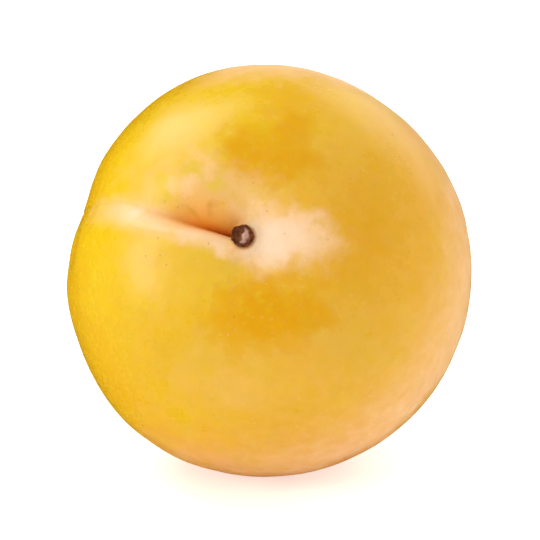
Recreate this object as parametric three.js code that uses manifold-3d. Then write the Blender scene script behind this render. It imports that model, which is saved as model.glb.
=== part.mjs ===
// A yellow plum with the dried stub of its stem, lying tipped back on a small flat spot.
// Millimetres, +Z up. The origin is on the surface, under the middle of the fruit's box.
//
// The fruit is one body, given by a radius for every direction from its middle. In its own frame
// +Z points out of the stem end and +X through the suture, the groove that runs from stem to tip.
// The cheek on the +Y side ends in a lip that closes over the groove beside the stem.

import * as THREE from 'three';
import { mergeVertices } from 'three/addons/utils/BufferGeometryUtils.js';
import Module from 'manifold-3d';

// Half sizes of the body: through the suture, across the cheeks and along the stem axis.
const SUTURE_HALF = 25.3;
const CHEEK_HALF = 25.75;
const STEM_HALF = 25.6;

// Soft swells and hollows of the body. turn is in degrees about the stem axis from the suture
// towards the lipped cheek, from_stem in degrees from the stem end, rise in millimetres at the
// middle, and reach is the angle in degrees over which the form dies away.
const SWELLS = [
  { turn: -50, from_stem: 90, rise: 0.75, reach: 26 },
  { turn: 68, from_stem: 90, rise: 0.6, reach: 30 },
  { turn: -115, from_stem: 80, rise: -0.25, reach: 22 },
  { turn: 150, from_stem: 125, rise: 0.35, reach: 28 },
  { turn: 15, from_stem: 140, rise: 0.3, reach: 24 },
];
const STEM_HOLLOW = { turn: 0, from_stem: 0, rise: -3.2, reach: 27 };
const STEM_DIMPLE = { turn: 0, from_stem: 0, rise: -1.0, reach: 10 };
const STYLE_TIP = { turn: 0, from_stem: 173, rise: 1.1, reach: 13 };

// The suture. Each pair is the value far from the stem and what the stem end adds to it.
const GROOVE_DEPTH = [0.7, 3.5];
const LIPPED_WIDTH = [3.0, -2.6];
const GENTLE_WIDTH = [5.5, -4.2];
const GROOVE_POWER = [2.0, -1.1];
const STEM_CLOSENESS = 7.0; // how fast the stem end's share fades along the fruit
const GROOVE_START = [-0.04, 0.1]; // where the groove opens, as a share of the radius along +X
const TIP_FADE = 0.6; // the groove dies away over this share of the radius at the tip
const SEAM_SPREAD = 25; // turns a direction's side component into millimetres across the groove
const SEAM_WAVE = 0.5;
const SEAM_WAVE_RATE = 5.0;
const SEAM_WAVE_PHASE = 1.0;
const SEAM_STRAIGHT = 0.3; // the seam starts straight over this share of the radius at the stem
const LIP_HEIGHT = 1.1;
const LIP_OFFSET = 1.4;
const LIP_WIDTH = 1.9;

// How the fruit lies: rolled about its stem axis, tipped over from upright, then turned about +Z.
const ROLL_DEG = 166.7;
const TIP_DEG = 61.386;
const TURN_DEG = -9.576;
const REST_DEPTH = 0.5; // how much of the skin is pressed flat under the weight

// The dried stub and the seat that it stands in, along the stem axis from the fruit's middle.
const SEAT_FLOOR = 18.6;
const SEAT_RADIUS = 1.85;
const SEAT_TOP = 25;
const SEAT_GAP = 0.3;
const STUB_RADIUS = 1.4; // radius of the base, which the profile below is given in
const STUB_LENGTH = 3.6;
const STUB_PROFILE = [
  [0, 0],
  [1, 0],
  [1, 0.14],
  [0.84, 0.3],
  [0.75, 0.52],
  [0.8, 0.72],
  [0.95, 0.9],
  [0.97, 0.97],
  [0.8, 1],
  [0.4, 0.92],
  [0, 0.89],
];
const STUB_RIBS = 5;
const STUB_RIB_DEPTH = 0.04;
const STUB_LEAN = 0.12;

// Facets. Rows crowd towards the stem end, and columns towards the suture.
const COLUMNS = 72;
const ROWS = 48;
const ROW_CROWDING = 1.3;
const COLUMN_CROWDING = 0.7;
const STUB_SIDES = 20;

const AXIS_X = new THREE.Vector3(1, 0, 0);
const AXIS_Z = new THREE.Vector3(0, 0, 1);
const FLOOR_BLOCK = 80; // side of the block that cuts the flat spot, wider than the fruit

const smooth = THREE.MathUtils.smoothstep;
const radians = THREE.MathUtils.degToRad;

const wasm = await Module();
wasm.setup();

// The height that a swell or hollow adds in the direction n.
function swellHeight(n, { turn, from_stem, rise, reach }) {
  const middle = new THREE.Vector3(
    Math.sin(radians(from_stem)) * Math.cos(radians(turn)),
    Math.sin(radians(from_stem)) * Math.sin(radians(turn)),
    Math.cos(radians(from_stem)),
  );
  const sharpness = 1 / (1 - Math.cos(radians(reach)));
  return rise * Math.exp(sharpness * (n.dot(middle) - 1));
}

// What the suture does to the radius in the direction n: a groove and the lip beside it.
function sutureHeight(n) {
  const open = smooth(n.x, ...GROOVE_START);
  const fade = smooth(n.z, -1, TIP_FADE - 1);
  const near = Math.exp(STEM_CLOSENESS * (n.z - 1));
  const wave = Math.sin(SEAM_WAVE_RATE * n.z + SEAM_WAVE_PHASE) * smooth(1 - n.z, 0, SEAM_STRAIGHT);
  const across = SEAM_SPREAD * n.y - SEAM_WAVE * wave;
  const mixed = ([far, added]) => far + added * near;
  const width = mixed(across > 0 ? LIPPED_WIDTH : GENTLE_WIDTH);
  const section = Math.exp(-((Math.abs(across) / width) ** mixed(GROOVE_POWER)));
  const groove = mixed(GROOVE_DEPTH) * fade * section;
  const lip = LIP_HEIGHT * near * Math.exp(-(((across - LIP_OFFSET) / LIP_WIDTH) ** 2));
  return open * (lip - groove);
}

function fruitRadius(n) {
  const body = 1 / Math.hypot(n.x / SUTURE_HALF, n.y / CHEEK_HALF, n.z / STEM_HALF);
  const forms = [...SWELLS, STEM_HOLLOW, STEM_DIMPLE, STYLE_TIP];
  return forms.reduce((radius, form) => radius + swellHeight(n, form), body) + sutureHeight(n);
}

// The whole fruit in its own frame: a sphere with its points sent out to the fruit's radius.
function fruitGeometry() {
  const sphere = new THREE.SphereGeometry(1, COLUMNS, ROWS);
  const { position, uv } = sphere.attributes;
  const n = new THREE.Vector3();
  for (let i = 0; i < position.count; i++) {
    const round = 2 * Math.PI * uv.getX(i);
    const turn = round - COLUMN_CROWDING * Math.sin(round);
    const fromStem = Math.PI * (1 - uv.getY(i)) ** ROW_CROWDING;
    n.set(Math.sin(fromStem) * Math.cos(turn), Math.sin(fromStem) * Math.sin(turn), Math.cos(fromStem));
    n.multiplyScalar(fruitRadius(n));
    position.setXYZ(i, n.x, n.y, n.z);
  }
  return sphere;
}

// The stub in the fruit's frame: a ribbed collar, a waist and a flared, dished break.
function stubGeometry() {
  const points = STUB_PROFILE.map(([r, h]) => new THREE.Vector2(r * STUB_RADIUS, h * STUB_LENGTH));
  const stub = new THREE.LatheGeometry(points, STUB_SIDES);
  stub.rotateX(Math.PI / 2);
  const { position } = stub.attributes;
  const p = new THREE.Vector3();
  for (let i = 0; i < position.count; i++) {
    p.fromBufferAttribute(position, i);
    const rib = 1 + STUB_RIB_DEPTH * Math.cos(STUB_RIBS * Math.atan2(p.y, p.x));
    const lean = STUB_LEAN * (p.z / STUB_LENGTH) ** 2;
    position.setXYZ(i, p.x * rib + lean, p.y * rib, p.z);
  }
  return stub.translate(0, 0, SEAT_FLOOR + SEAT_GAP);
}

// The clear round seat that the stub stands in.
function seatGeometry() {
  const seat = new THREE.CylinderGeometry(SEAT_RADIUS, SEAT_RADIUS, SEAT_TOP - SEAT_FLOOR, STUB_SIDES);
  return seat.rotateX(Math.PI / 2).translate(0, 0, (SEAT_TOP + SEAT_FLOOR) / 2);
}

function restingPosture() {
  const turned = new THREE.Quaternion().setFromAxisAngle(AXIS_Z, radians(TURN_DEG));
  const tipped = new THREE.Quaternion().setFromAxisAngle(AXIS_X, radians(TIP_DEG));
  const rolled = new THREE.Quaternion().setFromAxisAngle(AXIS_Z, radians(ROLL_DEG));
  return turned.multiply(tipped).multiply(rolled);
}

function solidOf(geometry) {
  const bare = geometry.clone();
  bare.deleteAttribute('normal');
  bare.deleteAttribute('uv');
  const merged = mergeVertices(bare);
  return new wasm.Manifold(
    new wasm.Mesh({
      numProp: 3,
      vertProperties: merged.attributes.position.array,
      triVerts: new Uint32Array(merged.index.array),
    }),
  );
}

function geometryOf(solid) {
  const { vertProperties, triVerts } = solid.getMesh();
  const geometry = new THREE.BufferGeometry();
  geometry.setAttribute('position', new THREE.BufferAttribute(vertProperties, 3));
  geometry.setIndex(new THREE.BufferAttribute(triVerts, 1));
  geometry.computeVertexNormals();
  return geometry;
}

function namedMesh(name, geometry, material) {
  const mesh = new THREE.Mesh(geometry, new THREE.MeshStandardMaterial(material));
  mesh.name = name;
  return mesh;
}

// Each piece is laid in the resting posture, with the flat spot level at z = 0.
const posture = restingPosture();
const lyingFruit = fruitGeometry().applyQuaternion(posture);
lyingFruit.computeBoundingBox();
const middle = lyingFruit.boundingBox.getCenter(new THREE.Vector3());
const place = new THREE.Vector3(-middle.x, -middle.y, -lyingFruit.boundingBox.min.z - REST_DEPTH);
const laid = (geometry) => geometry.applyQuaternion(posture).translate(...place);

const floorBlock = new THREE.BoxGeometry(FLOOR_BLOCK, FLOOR_BLOCK, FLOOR_BLOCK);
floorBlock.translate(0, 0, -FLOOR_BLOCK / 2);
const fruit = solidOf(lyingFruit.translate(...place))
  .subtract(solidOf(laid(seatGeometry())))
  .subtract(solidOf(floorBlock));

const plum = new THREE.Group();
plum.add(
  namedMesh('fruit', geometryOf(fruit), { color: 0xe9ae2a, roughness: 0.45, metalness: 0 }),
  namedMesh('stem_stub', laid(stubGeometry()), { color: 0x6b4433, roughness: 0.9, metalness: 0 }),
);

export default plum;
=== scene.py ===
import math
import random

import bmesh
import bpy
from mathutils import Matrix, Vector


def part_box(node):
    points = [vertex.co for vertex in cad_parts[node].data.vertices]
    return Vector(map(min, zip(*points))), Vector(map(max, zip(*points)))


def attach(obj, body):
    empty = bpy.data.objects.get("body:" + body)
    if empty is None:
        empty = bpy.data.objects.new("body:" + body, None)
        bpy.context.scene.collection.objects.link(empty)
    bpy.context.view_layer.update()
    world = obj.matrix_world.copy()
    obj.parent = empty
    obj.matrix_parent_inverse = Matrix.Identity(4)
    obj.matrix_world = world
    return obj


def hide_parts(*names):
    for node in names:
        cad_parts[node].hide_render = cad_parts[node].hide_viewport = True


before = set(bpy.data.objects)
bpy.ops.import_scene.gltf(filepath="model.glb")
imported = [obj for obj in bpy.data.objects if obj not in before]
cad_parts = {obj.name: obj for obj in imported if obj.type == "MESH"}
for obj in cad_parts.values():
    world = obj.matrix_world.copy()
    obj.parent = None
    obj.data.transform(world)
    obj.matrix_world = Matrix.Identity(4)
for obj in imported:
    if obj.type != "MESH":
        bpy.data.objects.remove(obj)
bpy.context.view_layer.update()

# A yellow plum with the dried stub of its stem, lying tipped back on a small flat spot.
#
# The fruit's own frame has +Z out of the stem end and +X through the suture, the groove that runs
# from stem to tip. The cheek on the +Y side ends in a lip that closes over the groove beside the
# stem. Both pieces are made in that frame and then laid down where the frame holds the fruit.

MM = 0.001
DEGREE = math.pi / 180

# Half sizes of the body: through the suture, across the cheeks and along the stem axis.
SUTURE_HALF = 25.3 * MM
CHEEK_HALF = 25.75 * MM
STEM_HALF = 25.6 * MM

# Soft swells and hollows of the body: where each lies, in degrees about the stem axis from the
# suture and in degrees from the stem end, how far it rises and the angle over which it dies away.
# The last two sharpen the dip in the shoulder on the suture side.
SWELLS = (
    {"turn": -50, "from_stem": 90, "rise": 0.75 * MM, "reach": 26},
    {"turn": 68, "from_stem": 90, "rise": 0.6 * MM, "reach": 30},
    {"turn": -115, "from_stem": 80, "rise": -0.25 * MM, "reach": 22},
    {"turn": 150, "from_stem": 125, "rise": 0.35 * MM, "reach": 28},
    {"turn": 15, "from_stem": 140, "rise": 0.3 * MM, "reach": 24},
    {"turn": 0, "from_stem": 0, "rise": -3.2 * MM, "reach": 27},
    {"turn": 0, "from_stem": 0, "rise": -1.0 * MM, "reach": 10},
    {"turn": 0, "from_stem": 173, "rise": 1.1 * MM, "reach": 13},
    {"turn": 12, "from_stem": 72, "rise": -0.65 * MM, "reach": 6},
    {"turn": 26, "from_stem": 80, "rise": 0.25 * MM, "reach": 9},
)

# How the fruit lies: rolled about its stem axis, tipped over from upright, then turned about +Z.
ROLL = 166.7 * DEGREE
TIP = 61.386 * DEGREE
TURN = -9.576 * DEGREE

# The form's named inputs. "at stem" is what the stem end adds to the value far from it.
FRUIT_FORM = {
    "Columns": 400,
    "Rows": 246,
    "Column crowding": 0.75,
    "Row crowding": 1.25,
    "Suture half": SUTURE_HALF,
    "Cheek half": CHEEK_HALF,
    "Stem half": STEM_HALF,
    "Groove depth": 0.7 * MM,
    "Groove depth at stem": 3.5 * MM,
    "Lipped width": 3.0 * MM,
    "Lipped width at stem": -2.6 * MM,
    "Gentle width": 5.5 * MM,
    "Gentle width at stem": -4.2 * MM,
    "Groove power": 2.0,
    "Groove power at stem": -1.1,
    "Stem closeness": 7.0,
    "Seam spread": 25 * MM,
    "Seam wave": 0.5 * MM,
    "Lip height": 1.1 * MM,
    "Lip offset": 1.4 * MM,
    "Lip width": 1.9 * MM,
    "Crease depth": 0.1 * MM,
    "Crease width": 0.35 * MM,
    "Dimpling": 0.22 * MM,
    "Pucker": 0.12 * MM,
    "Pucker reach": 17 * DEGREE,
    "Collar rise": 0.35 * MM,
    "Collar radius": 1.75 * MM,
    "Collar width": 0.6 * MM,
    "Rest softness": 0.12 * MM,
}

# Where the suture's parts come and go, as shares of the radius along +X and, for GROOVE_END and
# SEAM_STRAIGHT, along +Z. The seam starts straight at the stem and then waves.
GROOVE_START = (-0.04, 0.1)
GROOVE_END = (-1.0, -0.4)
CREASE_START = (0.1, 0.4)
SEAM_STRAIGHT = 0.3
SEAM_WAVE_RATE = 5.0
SEAM_WAVE_PHASE = 1.0

# The fine relief: how close the dimples of each size lie, how deep they are as shares of the
# dimpling, and how closely the puckers lie round the stem and change along it.
BROAD_DIMPLES = {"scale": 2.6, "detail": 1.0}
SMALL_DIMPLES = {"scale": 9.0, "detail": 2.0}
BROAD_DEPTH = 0.8
SMALL_DEPTH = 0.25
PUCKERS_ROUND = 3.2
PUCKERS_ALONG = 2.0

# The corky points' named inputs, with densities in points for each square metre.
CORKY_POINTS = {
    "Density all over": 4500.0,
    "Density at stem": 60000.0,
    "Smallest": 0.06 * MM,
    "Largest": 0.14 * MM,
    "Height share": 0.45,
    "Seed": 5,
}
CORKY_STEM_END = (0.80, 0.97)  # shares of the radius along +Z over which the points crowd


# Node building


class Value:
    """A number in a node tree. Arithmetic on it adds the nodes that work it out."""

    def __init__(self, plan, socket):
        self.plan = plan
        self.socket = socket

    def __add__(self, other):
        return self.plan.math("ADD", self, other)

    def __radd__(self, other):
        return self.plan.math("ADD", other, self)

    def __sub__(self, other):
        return self.plan.math("SUBTRACT", self, other)

    def __rsub__(self, other):
        return self.plan.math("SUBTRACT", other, self)

    def __mul__(self, other):
        return self.plan.math("MULTIPLY", self, other)

    def __truediv__(self, other):
        return self.plan.math("DIVIDE", self, other)

    def __rtruediv__(self, other):
        return self.plan.math("DIVIDE", other, self)

    def __pow__(self, other):
        return self.plan.math("POWER", self, other)

    def __neg__(self):
        return self.plan.math("MULTIPLY", self, -1.0)


class Plan:
    """Adds nodes to one tree, of a form, a material or a group of either."""

    def __init__(self, tree):
        self.tree = tree
        self.entry = None

    def feed(self, socket, value):
        if isinstance(value, Value):
            value = value.socket
        if isinstance(value, bpy.types.NodeSocket):
            self.tree.links.new(value, socket)
        else:
            socket.default_value = value

    def add(self, kind, inputs=None, **settings):
        node = self.tree.nodes.new(kind)
        for name, value in settings.items():
            setattr(node, name, value)
        for key, value in (inputs or {}).items():
            self.feed(node.inputs[key], value)
        return node

    def given(self, name):
        if self.entry is None:
            self.entry = self.tree.nodes.new("NodeGroupInput")
        return Value(self, self.entry.outputs[name])

    def result(self, **outputs):
        exit_node = self.tree.nodes.new("NodeGroupOutput")
        for name, value in outputs.items():
            self.feed(exit_node.inputs[name.replace("_", " ")], value)

    def math(self, operation, *values):
        node = self.add("ShaderNodeMath", operation=operation)
        for socket, value in zip(node.inputs, values):
            self.feed(socket, value)
        return Value(self, node.outputs[0])

    def exp(self, value):
        return self.math("EXPONENT", value)

    def sin(self, value):
        return self.math("SINE", value)

    def cos(self, value):
        return self.math("COSINE", value)

    def most(self, *masks):
        """The strongest of some masks at each place."""
        strongest = masks[0]
        for mask in masks[1:]:
            strongest = self.math("MAXIMUM", strongest, mask)
        return strongest

    def bell(self, value, width):
        """1 where value is 0, falling to nothing over a few widths."""
        share = value / width
        return self.exp(-(share * share))

    def ramp(self, value, low, high, start=0.0, end=1.0):
        """start up to low and end from high on, with a smooth rise between them."""
        inputs = {"Value": value, 1: low, 2: high, 3: start, 4: end}
        node = self.add("ShaderNodeMapRange", inputs, interpolation_type="SMOOTHSTEP")
        return Value(self, node.outputs[0])

    def vector(self, operation, *values):
        node = self.add("ShaderNodeVectorMath", operation=operation)
        for socket, value in zip(node.inputs, values):
            self.feed(socket, value)
        return node.outputs["Vector"]

    def dot(self, a, b):
        node = self.add("ShaderNodeVectorMath", {0: a, 1: b}, operation="DOT_PRODUCT")
        return Value(self, node.outputs["Value"])

    def length(self, a):
        node = self.add("ShaderNodeVectorMath", {0: a}, operation="LENGTH")
        return Value(self, node.outputs["Value"])

    def scaled(self, a, share):
        node = self.add("ShaderNodeVectorMath", {0: a, "Scale": share}, operation="SCALE")
        return node.outputs["Vector"]

    def split(self, vector):
        node = self.add("ShaderNodeSeparateXYZ", {0: vector})
        return [Value(self, socket) for socket in node.outputs]

    def joined(self, x, y, z):
        return self.add("ShaderNodeCombineXYZ", {0: x, 1: y, 2: z}).outputs[0]

    def noise(self, vector, scale, detail=2.0, roughness=0.5):
        """Cloudy noise from about -1 to 1."""
        inputs = {"Vector": vector, "Scale": scale, "Detail": detail, "Roughness": roughness}
        return Value(self, self.add("ShaderNodeTexNoise", inputs).outputs[0]) * 2.0 - 1.0

    def wander(self, vector, scale, reach):
        """A wandering offset of up to about reach each way."""
        inputs = {"Vector": vector, "Scale": scale, "Detail": 2.0}
        node = self.add("ShaderNodeTexNoise", inputs)
        centred = self.vector("SUBTRACT", node.outputs["Color"], (0.5, 0.5, 0.5))
        return self.scaled(centred, 2.0 * reach)

    def mixed(self, share, a, b):
        """A colour between a and b."""
        node = self.add("ShaderNodeMix", data_type="RGBA")
        colours = [s for s in node.inputs if s.type == "RGBA"]
        self.feed(node.inputs["Factor"], share)
        self.feed(colours[0], a)
        self.feed(colours[1], b)
        return next(s for s in node.outputs if s.type == "RGBA")

    def placed(self, group, **inputs):
        """A group placed in this tree; its outputs are read from the node."""
        kind = "ShaderNodeGroup" if self.tree.type == "SHADER" else "GeometryNodeGroup"
        node = self.add(kind, node_tree=group)
        for name, value in inputs.items():
            self.feed(node.inputs[name.replace("_", " ")], value)
        return {socket.name: Value(self, socket) for socket in node.outputs}


SOCKET_OF = {
    int: "NodeSocketInt",
    float: "NodeSocketFloat",
    Vector: "NodeSocketVector",
    type(None): "NodeSocketGeometry",
    bpy.types.Material: "NodeSocketMaterial",
}


def new_plan(name, kind, inputs, outputs):
    """A node group with named inputs, from their default values, and named outputs."""
    tree = bpy.data.node_groups.new(name, kind)
    for label, default in inputs.items():
        socket = tree.interface.new_socket(label, in_out="INPUT", socket_type=SOCKET_OF[type(default)])
        if default is not None and not isinstance(default, bpy.types.Material):
            socket.default_value = default
    for label, socket_type in outputs.items():
        tree.interface.new_socket(label, in_out="OUTPUT", socket_type=socket_type)
    return Plan(tree)


def grown(name, tree, settings, base=None):
    """A plain mesh object from a form's tree, with its named inputs set before it is evaluated."""
    maker = bpy.data.objects.new(name + "_maker", base or bpy.data.meshes.new(name + "_seed"))
    bpy.context.scene.collection.objects.link(maker)
    modifier = maker.modifiers.new("form", "NODES")
    modifier.node_group = tree
    for item in tree.interface.items_tree:
        if item.in_out == "INPUT" and item.name in settings:
            modifier[item.identifier] = settings[item.name]
    depsgraph = bpy.context.evaluated_depsgraph_get()
    evaluated = maker.evaluated_get(depsgraph)
    mesh = bpy.data.meshes.new_from_object(evaluated, preserve_all_data_layers=True, depsgraph=depsgraph)
    bpy.data.objects.remove(maker)
    mesh.name = name
    piece = bpy.data.objects.new(name, mesh)
    bpy.context.scene.collection.objects.link(piece)
    return piece


# The fruit's form


def way_of(turn, from_stem):
    """The direction at these angles, in degrees, in the fruit's frame."""
    turn, from_stem = turn * DEGREE, from_stem * DEGREE
    across = math.sin(from_stem)
    return Vector((across * math.cos(turn), across * math.sin(turn), math.cos(from_stem)))


def swell_group():
    """How high a swell or hollow stands in a direction."""
    inputs = {"Way": Vector((0, 0, 1)), "Middle": Vector((0, 0, 1)), "Rise": 0.0, "Reach": 1.0}
    plan = new_plan("swell", "GeometryNodeTree", inputs, {"Height": "NodeSocketFloat"})
    nearness = plan.dot(plan.given("Way").socket, plan.given("Middle").socket) - 1.0
    sharpness = 1.0 / (1.0 - plan.cos(plan.given("Reach")))
    plan.result(Height=plan.given("Rise") * plan.exp(nearness * sharpness))
    return plan.tree


def suture_heights(plan, x, z, across, near):
    """The groove's depth, the lip's height and the fine crease, in the fruit's radius."""

    def toward_stem(name):
        return plan.given(name) + plan.given(name + " at stem") * near

    lipped = plan.math("GREATER_THAN", across, 0.0)
    gentle_width = toward_stem("Gentle width")
    width = gentle_width + (toward_stem("Lipped width") - gentle_width) * lipped
    share = plan.math("ABSOLUTE", across) / width
    section = plan.exp(-(share ** toward_stem("Groove power")))
    opened = plan.ramp(x, *GROOVE_START)
    fade = plan.ramp(z, *GROOVE_END)
    groove = toward_stem("Groove depth") * opened * fade * section
    lip_place = across - plan.given("Lip offset")
    lip = plan.given("Lip height") * opened * near * plan.bell(lip_place, plan.given("Lip width"))
    crease = plan.given("Crease depth") * plan.bell(across, plan.given("Crease width"))
    crease = crease * plan.ramp(x, *CREASE_START)
    return groove, lip, crease


def fine_relief(plan, way, from_stem, turn):
    """Shallow dimples over the skin, and puckers that run into the stem hollow."""
    broad = plan.noise(way, **BROAD_DIMPLES)
    small = plan.noise(way, **SMALL_DIMPLES)
    dimples = plan.given("Dimpling") * (broad * BROAD_DEPTH + small * SMALL_DEPTH)
    round_x, round_y = plan.cos(turn) * PUCKERS_ROUND, plan.sin(turn) * PUCKERS_ROUND
    spoke = plan.joined(round_x, round_y, from_stem * PUCKERS_ALONG)
    puckers = plan.noise(spoke, 1.0) * plan.given("Pucker")
    return dimples + puckers * plan.bell(from_stem, plan.given("Pucker reach"))


def lying_at(plan, geometry, place):
    """Turns the points from the fruit's frame into its resting posture."""
    for axis, angle in (("Z_AXIS", ROLL), ("X_AXIS", TIP), ("Z_AXIS", TURN)):
        turned = {"Vector": place, "Angle": angle}
        place = plan.add("ShaderNodeVectorRotate", turned, rotation_type=axis).outputs[0]
    return plan.add("GeometryNodeSetPosition", {"Geometry": geometry, "Position": place}).outputs[0]


def settled(plan, geometry):
    """Moves the lying fruit into the frame's box, and presses it flat where it rests."""
    box = plan.add("GeometryNodeBoundBox", {"Geometry": geometry})
    low, high = plan.split(box.outputs["Min"]), plan.split(box.outputs["Max"])
    target_low = plan.split(plan.given("Box low").socket)
    target_high = plan.split(plan.given("Box high").socket)
    back_shift = (target_low[1] + target_high[1] - low[1] - high[1]) * 0.5
    shift = plan.joined(target_high[0] - high[0], back_shift, target_high[2] - high[2])
    moved = plan.add("GeometryNodeSetPosition", {"Geometry": geometry, "Offset": shift}).outputs[0]
    x, y, z = plan.split(plan.add("GeometryNodeInputPosition").outputs[0])
    rested = plan.math("SMOOTH_MAX", z, target_low[2], plan.given("Rest softness"))
    place = plan.joined(x, y, rested)
    return plan.add("GeometryNodeSetPosition", {"Geometry": moved, "Position": place}).outputs[0]


def spread_points(plan):
    """The angles from the stem and about it of each ball point, crowded to the stem and suture."""
    x, y, z = plan.split(plan.add("GeometryNodeInputPosition").outputs[0])
    height = plan.math("MINIMUM", plan.math("MAXIMUM", z, -1.0), 1.0)
    from_stem = (plan.math("ARCCOSINE", height) / math.pi) ** plan.given("Row crowding") * math.pi
    column = plan.math("ARCTAN2", y, x)
    turn = column - plan.given("Column crowding") * plan.sin(column)
    return from_stem, turn


def body_radius(plan, way, x, y, z):
    """The ellipsoid's radius in a direction, with the swells and hollows on it."""
    parts = (x / plan.given("Suture half"), y / plan.given("Cheek half"), z / plan.given("Stem half"))
    radius = 1.0 / plan.length(plan.joined(*parts))
    swell = swell_group()
    for form in SWELLS:
        middle = way_of(form["turn"], form["from_stem"])
        reach = form["reach"] * DEGREE
        radius += plan.placed(swell, Way=way, Middle=middle, Rise=form["rise"], Reach=reach)["Height"]
    return radius


def stored(plan, geometry, name, value, kind="FLOAT"):
    """Keeps a value on the points under a name, for the skin to read."""
    inputs = {"Geometry": geometry, "Name": name, "Value": value}
    return plan.add("GeometryNodeStoreNamedAttribute", inputs, data_type=kind).outputs[0]


def finished(plan, geometry, material):
    """A tree's end: plain smooth faces with the material on them."""
    geometry = plan.add("GeometryNodeSetShadeSmooth", {0: geometry}).outputs[0]
    geometry = plan.add("GeometryNodeRealizeInstances", {0: geometry}).outputs[0]
    inputs = {"Geometry": geometry, "Material": plan.given(material)}
    return plan.add("GeometryNodeSetMaterial", inputs).outputs[0]


def fruit_tree(skin):
    """The whole fruit: a ball whose points are sent out to the fruit's radius, then laid down."""
    inputs = FRUIT_FORM | {"Box low": Vector(), "Box high": Vector(), "Skin": skin}
    plan = new_plan("fruit form", "GeometryNodeTree", inputs, {"Fruit": "NodeSocketGeometry"})
    given = plan.given
    ball = plan.add("GeometryNodeMeshUVSphere", {"Segments": given("Columns"), "Rings": given("Rows")})
    from_stem, turn = spread_points(plan)
    side = plan.sin(from_stem)
    x, y, z = side * plan.cos(turn), side * plan.sin(turn), plan.cos(from_stem)
    way = plan.joined(x, y, z)

    near = plan.exp(given("Stem closeness") * (z - 1.0))
    wave = plan.sin(z * SEAM_WAVE_RATE + SEAM_WAVE_PHASE) * plan.ramp(1.0 - z, 0.0, SEAM_STRAIGHT)
    across = given("Seam spread") * y - given("Seam wave") * wave
    groove, lip, crease = suture_heights(plan, x, z, across, near)
    axis_distance = side * given("Stem half")
    collar_place = axis_distance - given("Collar radius")
    collar = given("Collar rise") * plan.bell(collar_place, given("Collar width"))
    radius = body_radius(plan, way, x, y, z) - groove + lip - crease
    radius = radius + fine_relief(plan, way, from_stem, turn) + collar

    geometry = stored(plan, ball.outputs["Mesh"], "fruit_way", way, "FLOAT_VECTOR")
    geometry = stored(plan, geometry, "seam_mm", across / MM)
    geometry = stored(plan, geometry, "fold_mm", groove / MM)
    geometry = settled(plan, lying_at(plan, geometry, plan.scaled(way, radius)))
    plan.result(Fruit=finished(plan, geometry, "Skin"))
    return plan.tree


def corky_points_tree(cork):
    """Tiny raised corky points strewn over the skin, most of them round the stem end."""
    inputs = {"Fruit": None} | CORKY_POINTS | {"Cork": cork}
    plan = new_plan("corky points", "GeometryNodeTree", inputs, {"Points": "NodeSocketGeometry"})
    given = plan.given
    read = {"Name": "fruit_way"}
    way = plan.add("GeometryNodeInputNamedAttribute", read, data_type="FLOAT_VECTOR").outputs[0]
    crowding = plan.ramp(plan.split(way)[2], *CORKY_STEM_END)
    density = given("Density all over") + given("Density at stem") * crowding
    strewn = {"Mesh": given("Fruit"), "Density": density, "Seed": given("Seed")}
    points = plan.add("GeometryNodeDistributePointsOnFaces", strewn)
    dome = plan.add("GeometryNodeMeshIcoSphere", {"Radius": 1.0, "Subdivisions": 2}).outputs[0]
    sizes = {"Min": given("Smallest"), "Max": given("Largest"), "Seed": given("Seed")}
    drawn = plan.add("FunctionNodeRandomValue", sizes, data_type="FLOAT")
    size = Value(plan, next(socket for socket in drawn.outputs if socket.enabled))
    inputs = {
        "Points": points.outputs["Points"],
        "Instance": dome,
        "Rotation": points.outputs["Rotation"],
        "Scale": plan.joined(size, size, size * given("Height share")),
    }
    geometry = plan.add("GeometryNodeInstanceOnPoints", inputs).outputs[0]
    plan.result(Points=finished(plan, geometry, "Cork"))
    return plan.tree


# Finishes

MAIN_GRAIN = 0.65
LESSER_GRAIN = 0.35


def patch_group():
    """A ragged round patch about a direction, for what the skin has in one place."""
    inputs = {
        "Way": Vector((0, 0, 1)),
        "Middle": Vector((0, 0, 1)),
        "Reach": 0.3,
        "Softness": 0.5,
        "Raggedness": 0.3,
        "Grain": 6.0,
    }
    plan = new_plan("patch", "ShaderNodeTree", inputs, {"Mask": "NodeSocketFloat"})
    way = plan.given("Way").socket
    distance = plan.length(plan.vector("SUBTRACT", way, plan.given("Middle").socket))
    ragged = plan.noise(way, plan.given("Grain"), 3.0, 0.55) * plan.given("Raggedness")
    share = distance / plan.given("Reach") + ragged
    plan.result(Mask=1.0 - plan.ramp(share, 1.0 - plan.given("Softness"), 1.0 + plan.given("Softness")))
    return plan.tree


def dots_group():
    """Small round dots strewn over a surface, such as pores or corky points."""
    inputs = {"Place": Vector(), "Spacing": 1.0, "Size": 0.2, "Share": 0.5}
    outputs = {"Dots": "NodeSocketFloat"}
    plan = new_plan("dots", "ShaderNodeTree", inputs, outputs)
    place = plan.scaled(plan.given("Place").socket, 1.0 / plan.given("Spacing"))
    cells = plan.add("ShaderNodeTexVoronoi", {"Vector": place, "Scale": 1.0, "Randomness": 0.9})
    chosen = plan.math("LESS_THAN", plan.split(cells.outputs["Color"])[0], plan.given("Share"))
    size = plan.given("Size") / plan.given("Spacing")
    inside = plan.ramp(Value(plan, cells.outputs["Distance"]), size * 0.5, size, 1.0, 0.0)
    plan.result(Dots=inside * chosen)
    return plan.tree


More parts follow.
